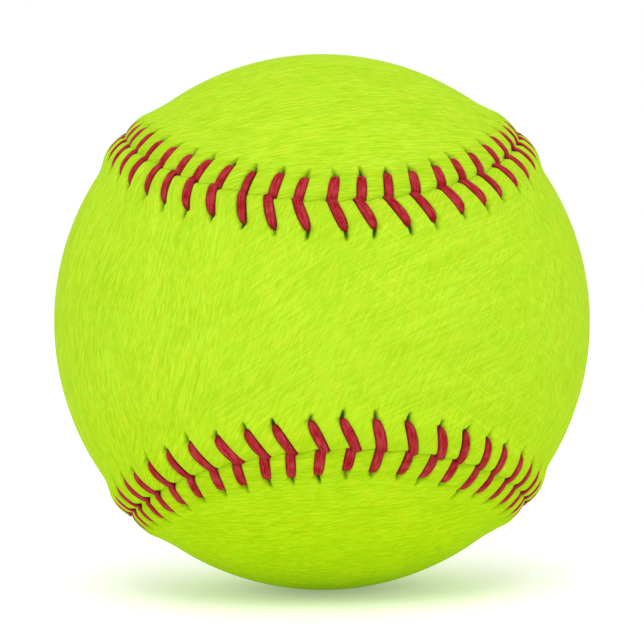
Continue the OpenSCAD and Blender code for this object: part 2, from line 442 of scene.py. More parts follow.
def panel_geometry(side):
    """Points, faces and painted shade of a closed leather panel, and how many of the faces are outside."""
    surface = Surface(side)
    stations = panel_stations()
    seam_row = add_outside(surface, stations)
    outer_count = len(surface.faces)
    add_inside(surface, stations, seam_row)
    faces = [[int(n) for n in face] for face in surface.faces]
    if side == FRONT:
        faces = turned(faces)
    return np.concatenate(surface.points), faces, np.concatenate(surface.dark), outer_count


def panel_uv(side, points, faces, outer_count):
    """Corner positions on a flat map: angle round the panel's spine and height above it."""
    x, y, z = points.T / np.linalg.norm(points, axis=1)
    spine = np.arctan2(x, -y) if side == FRONT else np.arctan2(z, y)
    above = np.arcsin(np.clip(z if side == FRONT else x, -1, 1))
    u = 0.5 + spine / MAP_LONG
    v = 0.5 + above / MAP_HIGH
    corners = np.concatenate([np.asarray(face) for face in faces])
    is_inner = np.repeat(np.arange(len(faces)) >= outer_count, [len(face) for face in faces])
    return np.stack([u[corners], 0.5 * v[corners] + np.where(is_inner, 0.5, 0.0)], axis=1)


def make_panel(side, name, node, material):
    points, faces, dark, outer_count = panel_geometry(side)
    piece = make_object(name, points, faces, material)
    # Painted shade of the holes, slits, seam line and seam band, for the material
    set_attribute(piece, "painted_shade", dark)
    set_uv(piece, panel_uv(side, points, faces, outer_count))
    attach(piece, "root")
    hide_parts(node)


# Rings of one leg from its hole to the seam, as shares of the way, and those under the leather
LEG_STOPS = np.array([0.0, 0.04, 0.09, 0.16, 0.25, 0.36, 0.48, 0.6, 0.72, 0.82, 0.9, 0.96, 1.0])
UNDER_STOPS = np.array([0.0, 0.15, 0.5, 0.85, 1.0])
# Section: points round it, a leg's half height, and half width and half height under the leather
THREAD_SIDES = 16
HALF_H = 0.40
NECK = 0.42
FLAT = 0.22
# A leg's path: height over the welt, sag towards the hole and the seam, and how far it passes the seam
LEG_LIFT = -0.155
HOLE_SAG = 0.42
SEAM_SAG = 0.12
DIVE_PAST = {FRONT: 0.42, REAR: 0.12}
# How deep a leg's ends dive into the hole and the seam, each with the share of the leg that it takes
HOLE_DIVE = 0.6
HOLE_DIVE_RUN = 0.055
SEAM_DIVE = {FRONT: 0.58, REAR: 0.70}
SEAM_DIVE_RUN = 0.07
# How much narrower a leg is towards both ends, at the hole and at the seam, and thinner at the hole
SPINDLE = 0.09
HOLE_NARROW = 0.42
HOLE_NARROW_RUN = 0.12
SEAM_NARROW = 0.10
SEAM_NARROW_RUN = 0.06
HOLE_THIN = 0.35
HOLE_THIN_RUN = 0.1
# The two plies: roundness of their section, depth and width of the parting between them, and the
# painted shade on the sides, as a power, and in the parting
PLY_ROUND = 0.9
PARTING = 0.18
PARTING_W = 0.20
SIDE_SHADE_POWER = 2.6
PARTING_SHADE = 0.36
PARTING_SHADE_W = 0.14
# Painted shade at a leg's ends, at its hole and at the seam, and the share of the leg that this takes
HOLE_END_SHADE = 0.6
SEAM_END_SHADE = 0.4
END_SHADE_RUN = 0.12
# Flat map of a thread: legs side by side in a row, and margins of each leg's cell
CELL_COLUMNS = 6
CELL_MARGIN_U = 0.02
CELL_MARGIN_V = 0.03


def leg_rings(side, k):
    """One leg's rings: s, d, radius, half width and half height, from the hole over to the seam."""
    i = k % STITCHES
    legs = LEGS[side]
    t = LEG_STOPS
    d = legs["d"][i] - (legs["d"][i] + DIVE_PAST[side]) * t
    s = leg_line(side, np.full(len(t), k), d)
    sink = HOLE_DIVE * bell(t, HOLE_DIVE_RUN) + SEAM_DIVE[side] * bell(1 - t, SEAM_DIVE_RUN)
    sink = sink + np.where(t < 0.5, HOLE_SAG, SEAM_SAG) * (1 - 2 * t) ** 2
    radius = BALL_R + welt_rise(side, np.maximum(d, 0.0)) + LEG_LIFT - sink
    narrow = HOLE_NARROW * bell(t, HOLE_NARROW_RUN) + SEAM_NARROW * bell(1 - t, SEAM_NARROW_RUN)
    half_w = legs["half_w"][i] * (1 - narrow) * (1 - SPINDLE * (1 - np.sin(math.pi * t)))
    half_h = HALF_H * (1 - HOLE_THIN * bell(t, HOLE_THIN_RUN))
    return np.stack([s, side * d, radius, half_w, half_h], axis=1)


def under_rings(leg, following):
    """Rings pressed flat under the other panel, from where one leg dives to where the next comes up."""
    s = leg[-1, 0] + (following[0, 0] - leg[-1, 0]) * UNDER_STOPS
    d = leg[-1, 1] + (following[0, 1] - leg[-1, 1]) * UNDER_STOPS
    whole = np.ones(len(s))
    return np.stack([s, d, BED_R * whole, NECK * whole, FLAT * whole], axis=1)


def thread_rings(first_side):
    """Rings of one thread, whose legs change sides from stitch to stitch, all the way round."""
    sides = [first_side if n % 2 == 0 else -first_side for n in range(STITCHES)]
    legs = [leg_rings(side, -n) for n, side in enumerate(sides)]
    last = legs[0].copy()
    last[:, 0] -= SEAM_LEN
    rings = []
    for leg, following in zip(legs, legs[1:] + [last]):
        rings.append(np.concatenate([leg, under_rings(leg, following)]))
    return np.concatenate(rings)


def thread_section():
    """Section of two plies laid side by side, as shares of the half size, and its painted shade there."""
    angle = np.arange(THREAD_SIDES) * 2 * math.pi / THREAD_SIDES
    level = np.cos(angle)
    across = np.sign(level) * np.abs(level) ** PLY_ROUND
    parting = 1 - PARTING * bell(level, PARTING_W)
    # Painted shade on the sides of the section and in the parting between the plies
    edge = np.abs(level) ** SIDE_SHADE_POWER + PARTING_SHADE * bell(level, PARTING_SHADE_W)
    return across, np.sin(angle) * parting, edge


def thread_geometry(first_side):
    """Points of one thread, the number of its rings, and the painted shade at each point."""
    rings = thread_rings(first_side)
    s, d, radius, half_w, half_h = rings.T
    path = on_ball(s, d, radius)
    _, seam, _ = seam_frame(s)
    along = unit(np.roll(path, -1, axis=0) - np.roll(path, 1, axis=0))
    wide = unit(seam - along * np.sum(seam * along, axis=1, keepdims=True))
    high = np.cross(along, wide)
    across, up, edge = thread_section()
    points = (
        path[:, None, :]
        + wide[:, None, :] * (half_w[:, None] * across[None, :])[..., None]
        + high[:, None, :] * (half_h[:, None] * up[None, :])[..., None]
    )
    # Painted shade: dark at both ends of each leg and full under the leather, together with the section's
    # sides and parting
    ends = HOLE_END_SHADE * bell(LEG_STOPS, END_SHADE_RUN) + SEAM_END_SHADE * bell(1 - LEG_STOPS, END_SHADE_RUN)
    ends = np.tile(np.concatenate([ends, np.ones(len(UNDER_STOPS))]), STITCHES)
    shade = np.maximum(edge[None, :], ends[:, None])
    return points.reshape(-1, 3), len(rings), shade.ravel()


def cell_span(margin, step, steps):
    """Start and end of one step across a cell of the flat map, inside the cell's margins."""
    return margin + (1 - 2 * margin) * np.array([step, step + 1]) / steps


def thread_faces(count):
    """Faces of the closed tube and the place of each corner on the flat map."""
    per_leg = len(LEG_STOPS) + len(UNDER_STOPS)
    rows = STITCHES // CELL_COLUMNS
    faces, uv = [], []
    for i in range(count):
        leg, step = divmod(i, per_leg)
        column, row = leg % CELL_COLUMNS, leg // CELL_COLUMNS
        u0, u1 = (column + cell_span(CELL_MARGIN_U, step, per_leg)) / CELL_COLUMNS
        after = (i + 1) % count
        for j in range(THREAD_SIDES):
            k = (j + 1) % THREAD_SIDES
            v0, v1 = (row + cell_span(CELL_MARGIN_V, j, THREAD_SIDES)) / rows
            base, upper = i * THREAD_SIDES, after * THREAD_SIDES
            faces.append([base + j, upper + j, upper + k, base + k])
            uv += [(u0, v0), (u1, v0), (u1, v1), (u0, v1)]
    return faces, uv


def make_thread(first_side, name, node, material):
    points, count, edge = thread_geometry(first_side)
    faces, uv = thread_faces(count)
    piece = make_object(name, points, faces, material)
    # Painted shade of the thread, for the material
    set_attribute(piece, "thread_painted_shade", edge)
    set_uv(piece, uv)
    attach(piece, "root")
    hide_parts(node)


def new_material(name):
    material = bpy.data.materials.new(name)
    material.use_nodes = True
    return material, material.node_tree, material.node_tree.nodes["Principled BSDF"]


def add_node(tree, kind, inputs=None, **settings):
    """A shader node with settings, and with inputs given as values or as sockets to link."""
    made = tree.nodes.new("ShaderNode" + kind)
    for key, value in settings.items():
        setattr(made, key, value)
    for key, value in (inputs or {}).items():
        if isinstance(value, bpy.types.NodeSocket):
            tree.links.new(value, made.inputs[key])
        else:
            made.inputs[key].default_value = value
    return made


def math_node(tree, operation, *values):
    made = add_node(tree, "Math", dict(enumerate(values)), operation=operation)
    return made.outputs[0]


def ramp(tree, value, low, high):
    """Value eased from 0 at low to 1 at high."""
    inputs = {"Value": value, "From Min": low, "From Max": high}
    return add_node(tree, "MapRange", inputs, interpolation_type="SMOOTHSTEP").outputs["Result"]


def blend_colour(tree, factor, first, second, mode="MIX"):
    inputs = {0: factor, 6: first, 7: second}
    return add_node(tree, "Mix", inputs, data_type="RGBA", blend_type=mode).outputs[2]


def mix_value(tree, share, first, second):
    return add_node(tree, "Mix", {0: share, 2: first, 3: second}, data_type="FLOAT").outputs[0]


def noise(tree, vector, scale, detail=2.0, roughness=0.55):
    inputs = {"Vector": vector, "Scale": scale, "Detail": detail, "Roughness": roughness}
    return add_node(tree, "TexNoise", inputs).outputs["Fac"]


def millimetres(tree):
    """The surface's own coordinates in millimetres."""
    place = add_node(tree, "TexCoord").outputs["Object"]
    return add_node(tree, "VectorMath", {0: place, "Scale": 1 / MM}, operation="SCALE").outputs[0]


def flat_map(tree):
    return add_node(tree, "UVMap", uv_map="OFBake").outputs[0]


def surface_finish(tree, shader, colour, wear, rough, height, bump):
    """Links a colour, a roughness that wear takes from one value to another, and a bump.

    The bump is a strength and a depth in millimetres.
    """
    tree.links.new(colour, shader.inputs["Base Color"])
    inputs = {"Value": wear, "To Min": rough[0], "To Max": rough[1]}
    tree.links.new(add_node(tree, "MapRange", inputs).outputs[0], shader.inputs["Roughness"])
    inputs = {"Height": height, "Strength": bump[0], "Distance": bump[1] * MM}
    tree.links.new(add_node(tree, "Bump", inputs).outputs[0], shader.inputs["Normal"])


# Strokes per millimetre across and along them, for short and long strokes, and the long ones' share
SHORT_ACROSS = 4.8
SHORT_ALONG = 0.58
LONG_ACROSS = 4.0
LONG_ALONG = 0.16
LONG_SHARE = 0.42
STROKE_DETAIL = 3.0
STROKE_ROUGHNESS = 0.65


def streaks(tree, place, axis, fine, coarse, detail=STROKE_DETAIL):
    """Noise drawn out into strokes that run round an axis through the ball's centre."""
    def vector(operation, first, second):
        key = "Scale" if operation == "SCALE" else 1
        return add_node(tree, "VectorMath", {0: first, key: second}, operation=operation).outputs

    outward = add_node(tree, "VectorMath", {0: place}, operation="NORMALIZE").outputs[0]
    along = vector("DOT_PRODUCT", outward, axis)["Value"]
    flat = vector("SUBTRACT", outward, vector("SCALE", axis, along)[0])[0]
    heading = add_node(tree, "VectorMath", {0: flat}, operation="NORMALIZE").outputs[0]
    arc = vector("SCALE", heading, coarse * BALL_R)[0]
    polar = math_node(tree, "ARCCOSINE", along)
    away = vector("SCALE", axis, math_node(tree, "MULTIPLY", polar, BALL_R * fine))[0]
    return noise(tree, vector("ADD", arc, away)[0], 1.0, detail, STROKE_ROUGHNESS)


def hatch(tree, place, first, second, fine=1.0):
    """Short strokes round one axis and longer ones round another, laid over each other."""
    short = streaks(tree, place, first, SHORT_ACROSS * fine, SHORT_ALONG)
    long = streaks(tree, place, second, LONG_ACROSS * fine, LONG_ALONG)
    return mix_value(tree, LONG_SHARE, short, long)


def axis_at(degrees):
    """Axis square to strokes that lean this far from upright, seen from the front."""
    return (math.cos(math.radians(degrees)), 0.0, -math.sin(math.radians(degrees)))


# Axes that the front panel's short and long strokes run round, their strength, and the x where the
# next set takes over
FRONT_STROKES = (
    ((0.0, 0.970, 0.243), (0.0, 0.995, 0.100), 1.4, -25.0),
    (axis_at(11), axis_at(15), 1.15, -16.0),
    (axis_at(27), axis_at(58), 0.9, -1.0),
    (axis_at(31), axis_at(70), 0.82, 24.0),
    ((0.0, 0.900, 0.436), (0.0, 0.900, -0.436), 0.97, None),
)
# Axes of the rear panel's strokes: on the lobes seen from the front, over the crown and at the back, the
# y where the last two take over, and how fine and strong all of them are
UPPER_AXES = ((-0.13, 0.40, 0.907), (-0.16, 0.38, 0.911))
LOWER_AXES = ((0.16, 0.131, -0.979), (0.10, 0.13, -0.987))
CROWN_AXES = ((0.12, 0.985, 0.12), (-0.10, 0.99, 0.05))
BACK_AXES = ((0.08, 0.10, 0.99), (-0.12, 0.04, 0.99))
CROWN_Y = -7.0
BACK_Y = 16.0
REAR_FINE = 1.25
REAR_STRENGTH = 1.22
# One set of strokes gives way to the next within this distance of a line that wanders this far
TAKE_OVER = 4.0
ZONE_WANDER = 12.0
ZONE_NOISE = (0.11, 3.0)


def strengthen(tree, stroke, strength):
    """Strokes with their light and dark drawn apart, or together by a strength below 1."""
    return math_node(tree, "MULTIPLY_ADD", stroke, strength, 0.5 * (1 - strength))


def panel_strokes(tree, place, front):
    """Brushed strokes of one panel, whose direction changes from patch to patch."""
    x, y, z = add_node(tree, "SeparateXYZ", {0: place}).outputs
    stray = noise(tree, place, *ZONE_NOISE)
    wander = math_node(tree, "MULTIPLY_ADD", stray, 2 * ZONE_WANDER, -ZONE_WANDER)

    def take_over(along, edge, before, after):
        share = ramp(tree, math_node(tree, "ADD", along, wander), edge - TAKE_OVER, edge + TAKE_OVER)
        return mix_value(tree, share, before, after)

    if not front:
        lower, upper, crown, back = (
            hatch(tree, place, *axes, REAR_FINE)
            for axes in (LOWER_AXES, UPPER_AXES, CROWN_AXES, BACK_AXES)
        )
        stroke = take_over(y, CROWN_Y, take_over(z, 0.0, lower, upper), crown)
        return strengthen(tree, take_over(y, BACK_Y, stroke, back), REAR_STRENGTH)
    stroke, edge = None, None
    for short_axis, long_axis, strength, end in FRONT_STROKES:
        patch = strengthen(tree, hatch(tree, place, short_axis, long_axis), strength)
        stroke = patch if stroke is None else take_over(x, edge, stroke, patch)
        edge = end
    return stroke


# Scratches: lines per millimetre across and along them, the noise that makes a line, the x where they
# fade in and out, and the scale and noise of the patches that have any
SCRATCH_ACROSS = 2.8
SCRATCH_ALONG = 0.06
SCRATCH_LINE = (0.64, 0.78)
SCRATCH_LEFT = (-4.0, 6.0)
SCRATCH_RIGHT = (29.0, 24.0)
SCRATCH_PATCHES = 0.07
SCRATCH_PATCH = (0.42, 0.6)


def scratches(tree, place, axis):
    """A few long thin lines on the right of the front panel, 1 on a line and 0 beside it."""
    lines = streaks(tree, place, axis, SCRATCH_ACROSS, SCRATCH_ALONG, detail=0.0)
    lines = ramp(tree, lines, *SCRATCH_LINE)
    x = add_node(tree, "SeparateXYZ", {0: place}).outputs[0]
    inside = math_node(tree, "MULTIPLY", ramp(tree, x, *SCRATCH_LEFT), ramp(tree, x, *SCRATCH_RIGHT))
    patch = ramp(tree, noise(tree, place, SCRATCH_PATCHES), *SCRATCH_PATCH)
    return math_node(tree, "MULTIPLY", lines, math_node(tree, "MULTIPLY", inside, patch))


LEATHER_LIGHT = (0.419, 0.684, 0.0275, 1.0)
LEATHER_DEEP = (0.318, 0.54, 0.0085, 1.0)
LEATHER_WARM = (0.492, 0.655, 0.0275, 1.0)
# Tint of the painted shade in the band along the seam
LEATHER_BAND_SHADE = (0.915, 0.93, 0.8, 1.0)
LEATHER_SCUFF = (0.56, 0.78, 0.040, 1.0)
LEATHER_SCRATCH = (0.27, 0.475, 0.008, 1.0)
# Colour of the painted shade in the needle holes, slits and seam line
PAINTED_SHADE_COLOUR = (0.035, 0.07, 0.004, 1.0)
# Painted shade low on the ball, which takes blue out of the coat: its tint, and the heights where it starts
# and is full
LEATHER_LOW_SHADE = (1.0, 1.0, 0.18, 1.0)
LOW_SHADE_START = 0.0
LOW_SHADE_FULL = -32.0
# Lean of each set of scratches, its colour and its strength
SCRATCHES = ((58, LEATHER_SCRATCH, 0.5), (-52, LEATHER_SCUFF, 0.24))
# Noise in the leather: scale per millimetre, detail and roughness
CLOUDS = (0.15, 3.0, 0.6)
MOTTLES = (0.42, 3.0, 0.8)
GRAIN = (2.2, 4.0, 0.6)
# Shares of clouds in the tone and of grain in the relief, and the values where each blend starts and ends
CLOUD_SHARE = 0.1
GRAIN_SHARE = 0.4
TONE_RANGE = (0.382, 0.618)
WARM_RANGE = (0.34, 0.68)
# Cloud values over which the painted shade of the seam band comes in
BAND_SHADE_RANGE = (0.2, 0.5)
# Values of the painted shade where the dark colour of holes and seam line starts and is full
PAINTED_SHADE_RANGE = (0.25, 0.95)
WEAR_RANGE = (0.2, 0.8)
LEATHER_ROUGH = (0.62, 0.5)
LEATHER_BUMP = (0.35, 0.06)
LEATHER_SHINE = 0.003


def leather_colour(tree, place, stroke, front):
    """Neon coat with light and deep strokes, warm mottles and scratches, and painted shade: less blue low
    on the ball, a darker band along the seam, and dark needle holes and seam line.
    """
    cloud = noise(tree, place, *CLOUDS)
    tone = ramp(tree, mix_value(tree, CLOUD_SHARE, stroke, cloud), *TONE_RANGE)
    warm = ramp(tree, noise(tree, place, *MOTTLES), *WARM_RANGE)
    light = blend_colour(tree, warm, LEATHER_LIGHT, LEATHER_WARM)
    colour = blend_colour(tree, tone, LEATHER_DEEP, light)
    # Painted shade: less blue low on the ball
    z = add_node(tree, "SeparateXYZ", {0: place}).outputs[2]
    colour = blend_colour(tree, ramp(tree, z, LOW_SHADE_START, LOW_SHADE_FULL), colour, LEATHER_LOW_SHADE, "MULTIPLY")
    for lean, mark, strength in SCRATCHES if front else ():
        line = math_node(tree, "MULTIPLY", scratches(tree, place, axis_at(lean)), strength)
        colour = blend_colour(tree, line, colour, mark)
    # The painted shade of holes, slits, seam line and seam band, from the mesh
    dark = add_node(tree, "Attribute", attribute_name="painted_shade").outputs["Fac"]
    # Painted shade: the seam band, with the holes and seam line, a little darker, mottled by the clouds
    band_shade = math_node(tree, "MULTIPLY", ramp(tree, dark, 0.0, SEAM_BAND_SHADE[REAR]), ramp(tree, cloud, *BAND_SHADE_RANGE))
    colour = blend_colour(tree, band_shade, colour, LEATHER_BAND_SHADE, "MULTIPLY")
    # Painted shade: needle holes, slits and seam line go dark
    return blend_colour(tree, ramp(tree, dark, *PAINTED_SHADE_RANGE), colour, PAINTED_SHADE_COLOUR)


def leather_material(name, front):
    """Coated leather of one panel, brushed and finely grained."""
    material, tree, shader = new_material(name)
    place = millimetres(tree)
    stroke = panel_strokes(tree, place, front)
    colour = leather_colour(tree, place, stroke, front)
    wear = ramp(tree, stroke, *WEAR_RANGE)
    height = mix_value(tree, GRAIN_SHARE, stroke, noise(tree, place, *GRAIN))
    surface_finish(tree, shader, colour, wear, LEATHER_ROUGH, height, LEATHER_BUMP)
    shader.inputs["Specular IOR Level"].default_value = LEATHER_SHINE
    return material


THREAD_LIGHT = (0.476, 0.049, 0.062, 1.0)
THREAD_DEEP = (0.27, 0.002, 0.005, 1.0)
# Colour of the painted shade on the thread's sides, in its parting and at its ends
THREAD_SHADE_COLOUR = (0.09, 0.003, 0.004, 1.0)
# Fibres along and across the flat map, noise of fibres and patches, and the patches' share of the tone
FIBRE_COUNT = (40.0, 900.0, 1.0)
FIBRES = (1.0, 2.0, 0.5)
PATCHES = (0.9, 2.0, 0.5)
PATCH_SHARE = 0.33
THREAD_RANGE = (0.37, 0.68)
# Values where the thread's painted shade starts and is full
THREAD_SHADE_RANGE = (0.08, 1.0)
THREAD_ROUGH = (0.38, 0.6)
THREAD_BUMP = (0.5, 0.05)
THREAD_SHINE = 0.025


def thread_material():
    """Waxed red thread with fine fibres along it, and painted shade on its sides, in its parting and at its
    ends.
    """
    material, tree, shader = new_material("waxed_thread")
    drawn_out = {0: flat_map(tree), 1: FIBRE_COUNT}
    lines = add_node(tree, "VectorMath", drawn_out, operation="MULTIPLY").outputs[0]
    fibre = noise(tree, lines, *FIBRES)
    tone = mix_value(tree, PATCH_SHARE, fibre, noise(tree, millimetres(tree), *PATCHES))
    colour = blend_colour(tree, ramp(tree, tone, *THREAD_RANGE), THREAD_DEEP, THREAD_LIGHT)
    # Painted shade, from the mesh: the thread's sides, parting and ends go dark
    edge = add_node(tree, "Attribute", attribute_name="thread_painted_shade").outputs["Fac"]
    colour = blend_colour(tree, ramp(tree, edge, *THREAD_SHADE_RANGE), colour, THREAD_SHADE_COLOUR)
    surface_finish(tree, shader, colour, fibre, THREAD_ROUGH, fibre, THREAD_BUMP)
    shader.inputs["Specular IOR Level"].default_value = THREAD_SHINE
    return material


make_panel(FRONT, "front_panel_leather", "front_panel", leather_material("leather_front", True))
make_panel(REAR, "rear_panel_leather", "rear_panel", leather_material("leather_rear", False))
thread = thread_material()
make_thread(FRONT, "thread_first", "thread_first_needle", thread)
make_thread(REAR, "thread_second", "thread_second_needle", thread)

# Light and deep colours of the yarns
GREY_WOOL = ((0.36, 0.365, 0.38), (0.14, 0.143, 0.15))
WHITE_WOOL = ((0.80, 0.76, 0.66), (0.52, 0.48, 0.39))
THIN_GREY_WOOL = ((0.34, 0.345, 0.36), (0.13, 0.133, 0.14))
COTTON = ((0.86, 0.84, 0.78), (0.60, 0.57, 0.50))
# Wound layers: node, node inside it, slot, yarn width and height, turns, plies and colours
WINDINGS = (
    ("first_winding", "pill_cement", "grey_wool", 2.0, 1.5, 80, 4, GREY_WOOL),
    ("second_winding", "first_winding", "white_wool", 1.7, 1.1, 96, 3, WHITE_WOOL),
    ("third_winding", "second_winding", "grey_wool", 1.7, 1.2, 100, 3, THIN_GREY_WOOL),
    ("fourth_winding", "third_winding", "cotton", 0.9, 0.34, 180, 2, COTTON),
)
# Gap to the layer inside, and the yarn's rings in one turn and points round each
LAYER_FIT = 0.06
YARN_STEPS = 56
YARN_SIDES = 5
# Turn and rise of the yarn's axis from one turn to the next, and steps over which an end tucks in
AXIS_TURN = 0.37
AXIS_RISE = 0.043
TUCK_STEPS = 5
# In heights of the yarn: the first turn over the core, the core under the layer's top and over its bottom
FIRST_LIFT = 0.2
CORE_SINK = 1.6
CORE_LIFT = 0.3
# The hollow core: rows and columns of faces, and one row of the flat map for so many turns of yarn
CORE_ROWS = 24
CORE_COLUMNS = 48
TURNS_PER_CORE_ROW = 6


def yarn_axis(turn):
    """Axis that the yarn runs round after so many turns, which wanders over the whole ball."""
    rise = 2 * abs(turn * AXIS_RISE % 2.0 - 1.0) - 1.0
    level = math.sqrt(1.0 - rise ** 2)
    return np.array([level * math.cos(turn * AXIS_TURN), level * math.sin(turn * AXIS_TURN), rise])


def yarn_path(turns):
    """Directions along one unbroken yarn, each turn close to a great circle."""
    step = 2 * math.pi / YARN_STEPS
    place, path = np.array([1.0, 0.0, 0.0]), []
    for i in range(turns * YARN_STEPS + 1):
        axis = yarn_axis(i / YARN_STEPS)
        place = unit(place - axis * (place @ axis))
        path.append(place)
        place = place * math.cos(step) + np.cross(axis, place) * math.sin(step)
    return np.array(path)


def yarn_points(core_r, top_r, width, height, turns):
    """Rings of points round the yarn, which climbs from turn to turn and tucks in at its ends."""
    path = yarn_path(turns)
    count = np.arange(len(path))
    low, high = core_r + FIRST_LIFT * height, top_r - 0.5 * height
    tucked = 1 - smooth(np.minimum(count, count[::-1]), 0, TUCK_STEPS)
    radius = low + (high - low) * count / count[-1] - height * tucked
    centre = path * radius[:, None]
    along = unit(np.gradient(centre, axis=0))
    wide = unit(np.cross(along, path))
    angle = np.arange(YARN_SIDES) * 2 * math.pi / YARN_SIDES + math.pi / 2
    points = (
        centre[:, None, :]
        + wide[:, None, :] * (0.5 * width * np.cos(angle))[None, :, None]
        + path[:, None, :] * (0.5 * height * np.sin(angle))[None, :, None]
    )
    return points.reshape(-1, 3)


def yarn_faces(turns, rows):
    """Faces of the yarn with a cap at each end, and the place of each corner on the flat map."""
    i, j = np.meshgrid(np.arange(turns * YARN_STEPS), np.arange(YARN_SIDES), indexing="ij")
    here, there = i * YARN_SIDES, (i + 1) * YARN_SIDES
    after = (j + 1) % YARN_SIDES
    faces = np.stack([here + j, there + j, there + after, here + after], axis=-1).reshape(-1, 4).tolist()
    turn, step = i // YARN_STEPS, i % YARN_STEPS
    u0, u1 = step / YARN_STEPS, (step + 1) / YARN_STEPS
    v0, v1 = (turn + j / YARN_SIDES) / rows, (turn + (j + 1) / YARN_SIDES) / rows
    uv = np.stack([u0, v0, u1, v0, u1, v1, u0, v1], axis=-1).reshape(-1, 2).tolist()
    last = turns * YARN_STEPS * YARN_SIDES
    faces += [list(range(YARN_SIDES)), [last + j for j in range(YARN_SIDES)][::-1]]
    return faces, uv + [(0.0, 0.0)] * (2 * YARN_SIDES)


def ball_points(radius):
    """A ball's points: the lower pole, rows of points and the upper pole."""
    rise = np.linspace(-0.5, 0.5, CORE_ROWS + 1)[1:-1, None] * math.pi
    turn = np.arange(CORE_COLUMNS)[None, :] * 2 * math.pi / CORE_COLUMNS
    rows = [np.cos(rise) * np.cos(turn), np.cos(rise) * np.sin(turn), np.sin(rise) + 0 * turn]
    middle = np.stack(rows, axis=-1).reshape(-1, 3)
    return radius * np.concatenate([[(0, 0, -1)], middle, [(0, 0, 1)]])


def ball_faces(first, outward, corner_place):
    """Faces of a ball whose points start at a number, and the flat place of each corner."""
    def number(row, column):
        if row in (0, CORE_ROWS):
            return first + (row > 0) * (1 + (CORE_ROWS - 1) * CORE_COLUMNS)
        return first + 1 + (row - 1) * CORE_COLUMNS + column % CORE_COLUMNS

    faces, uv = [], []
    for row in range(CORE_ROWS):
        for column in range(CORE_COLUMNS):
            corners = [(row, column), (row, column + 1), (row + 1, column + 1), (row + 1, column)]
            if row == 0:
                corners = corners[1:]
            if row == CORE_ROWS - 1:
                corners = corners[:3]
            corners = corners if outward else corners[::-1]
            faces.append([number(*corner) for corner in corners])
            uv += [corner_place(*corner) for corner in corners]
    return faces, uv


# Yarn: twists in a turn, noise of fuzz and flecks, the flecks' share of the tone, and its finish
TWISTS = 44
FUZZ = (3.2, 4.0, 0.65)
FLECKS = (0.7, 3.0, 0.6)
FLECK_SHARE = 0.45
PLY_RANGE = (-0.4, 1.3)
YARN_RANGE = (0.15, 0.75)
YARN_ROUGH = (0.75, 0.95)
YARN_BUMP = (0.7, 0.12)
YARN_SHEEN = 0.25


def yarn_material(name, light, deep, rows, plies):
    """Twisted yarn: slanting plies along each turn, with flecks and fuzz."""
    material, tree, shader = new_material(name)
    u, v, _ = add_node(tree, "SeparateXYZ", {0: flat_map(tree)}).outputs
    across = math_node(tree, "MULTIPLY", v, 2 * math.pi * plies * rows)
    lay = math_node(tree, "MULTIPLY_ADD", u, 2 * math.pi * TWISTS, across)
    place = millimetres(tree)
    fuzz = noise(tree, place, *FUZZ)
    ply = math_node(tree, "ADD", math_node(tree, "SINE", lay), fuzz)
    tone = mix_value(tree, FLECK_SHARE, ramp(tree, ply, *PLY_RANGE), noise(tree, place, *FLECKS))
    colour = blend_colour(tree, ramp(tree, tone, *YARN_RANGE), (*deep, 1.0), (*light, 1.0))
    surface_finish(tree, shader, colour, fuzz, YARN_ROUGH, ply, YARN_BUMP)
    shader.inputs["Sheen Weight"].default_value = YARN_SHEEN
    return material


def core_place(turns, rows, half):
    """Flat place of a corner of the core, whose outer and inner faces take half the map's width each."""
    def place(row, column):
        u = (half + column / CORE_COLUMNS) / 2
        return u, (turns + (rows - turns) * row / CORE_ROWS) / rows

    return place


def make_winding(node, inside, slot, width, height, turns, plies, colours):
    """A hollow core with the last turns of one unbroken yarn wound over it."""
    top_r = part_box(node)[1][0] / MM
    inner_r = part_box(inside)[1][0] / MM + LAYER_FIT
    core_r = max(top_r - CORE_SINK * height, inner_r + CORE_LIFT * height)
    rows = turns + turns // TURNS_PER_CORE_ROW
    yarn = yarn_points(core_r, top_r, width, height, turns)
    faces, uv = yarn_faces(turns, rows)
    shell = [ball_points(core_r), ball_points(inner_r)]
    for half, outward in enumerate((True, False)):
        first = len(yarn) + half * len(shell[0])
        more, places = ball_faces(first, outward, core_place(turns, rows, half))
        faces += more
        uv += places
    material = yarn_material(node + "_yarn", *colours, rows, plies)
    piece = make_object(node + "_yarn", np.concatenate([yarn, *shell]), faces, material)
    set_uv(piece, uv)
    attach(piece, "root")
    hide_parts(node)


for winding in WINDINGS:
    make_winding(*winding)

# Cork: granules per millimetre, noise of its fine grain and the gaps between granules
CORK_LIGHT = (0.50, 0.31, 0.15, 1.0)
CORK_DEEP = (0.23, 0.11, 0.045, 1.0)
CORK_GAP = (0.05, 0.028, 0.015, 1.0)
GRANULES = 0.75
CORK_GRAIN = (2.5, 4.0, 0.65)
CORK_GRAIN_SHARE = 0.4
GAP_RANGE = (0.5, 0.75)
GAP_STRENGTH = 0.7
CORK_ROUGH = (0.92, 0.75)
CORK_BUMP = (0.6, 0.2)
# Rubber: noise of its bloom and of the mould's grain
BLOOM = (0.35, 4.0, 0.6)
MOULD_GRAIN = (6.0, 3.0, 0.6)
MOULD_GRAIN_SHARE = 0.3
RUBBER_RANGE = (0.3, 0.7)
RUBBER_ROUGH = (0.5, 0.72)
RUBBER_BUMP = (0.6, 0.04)
BLACK_RUBBER = ((0.030, 0.030, 0.031), (0.012, 0.012, 0.012))
RED_RUBBER = ((0.27, 0.020, 0.014), (0.17, 0.011, 0.008))
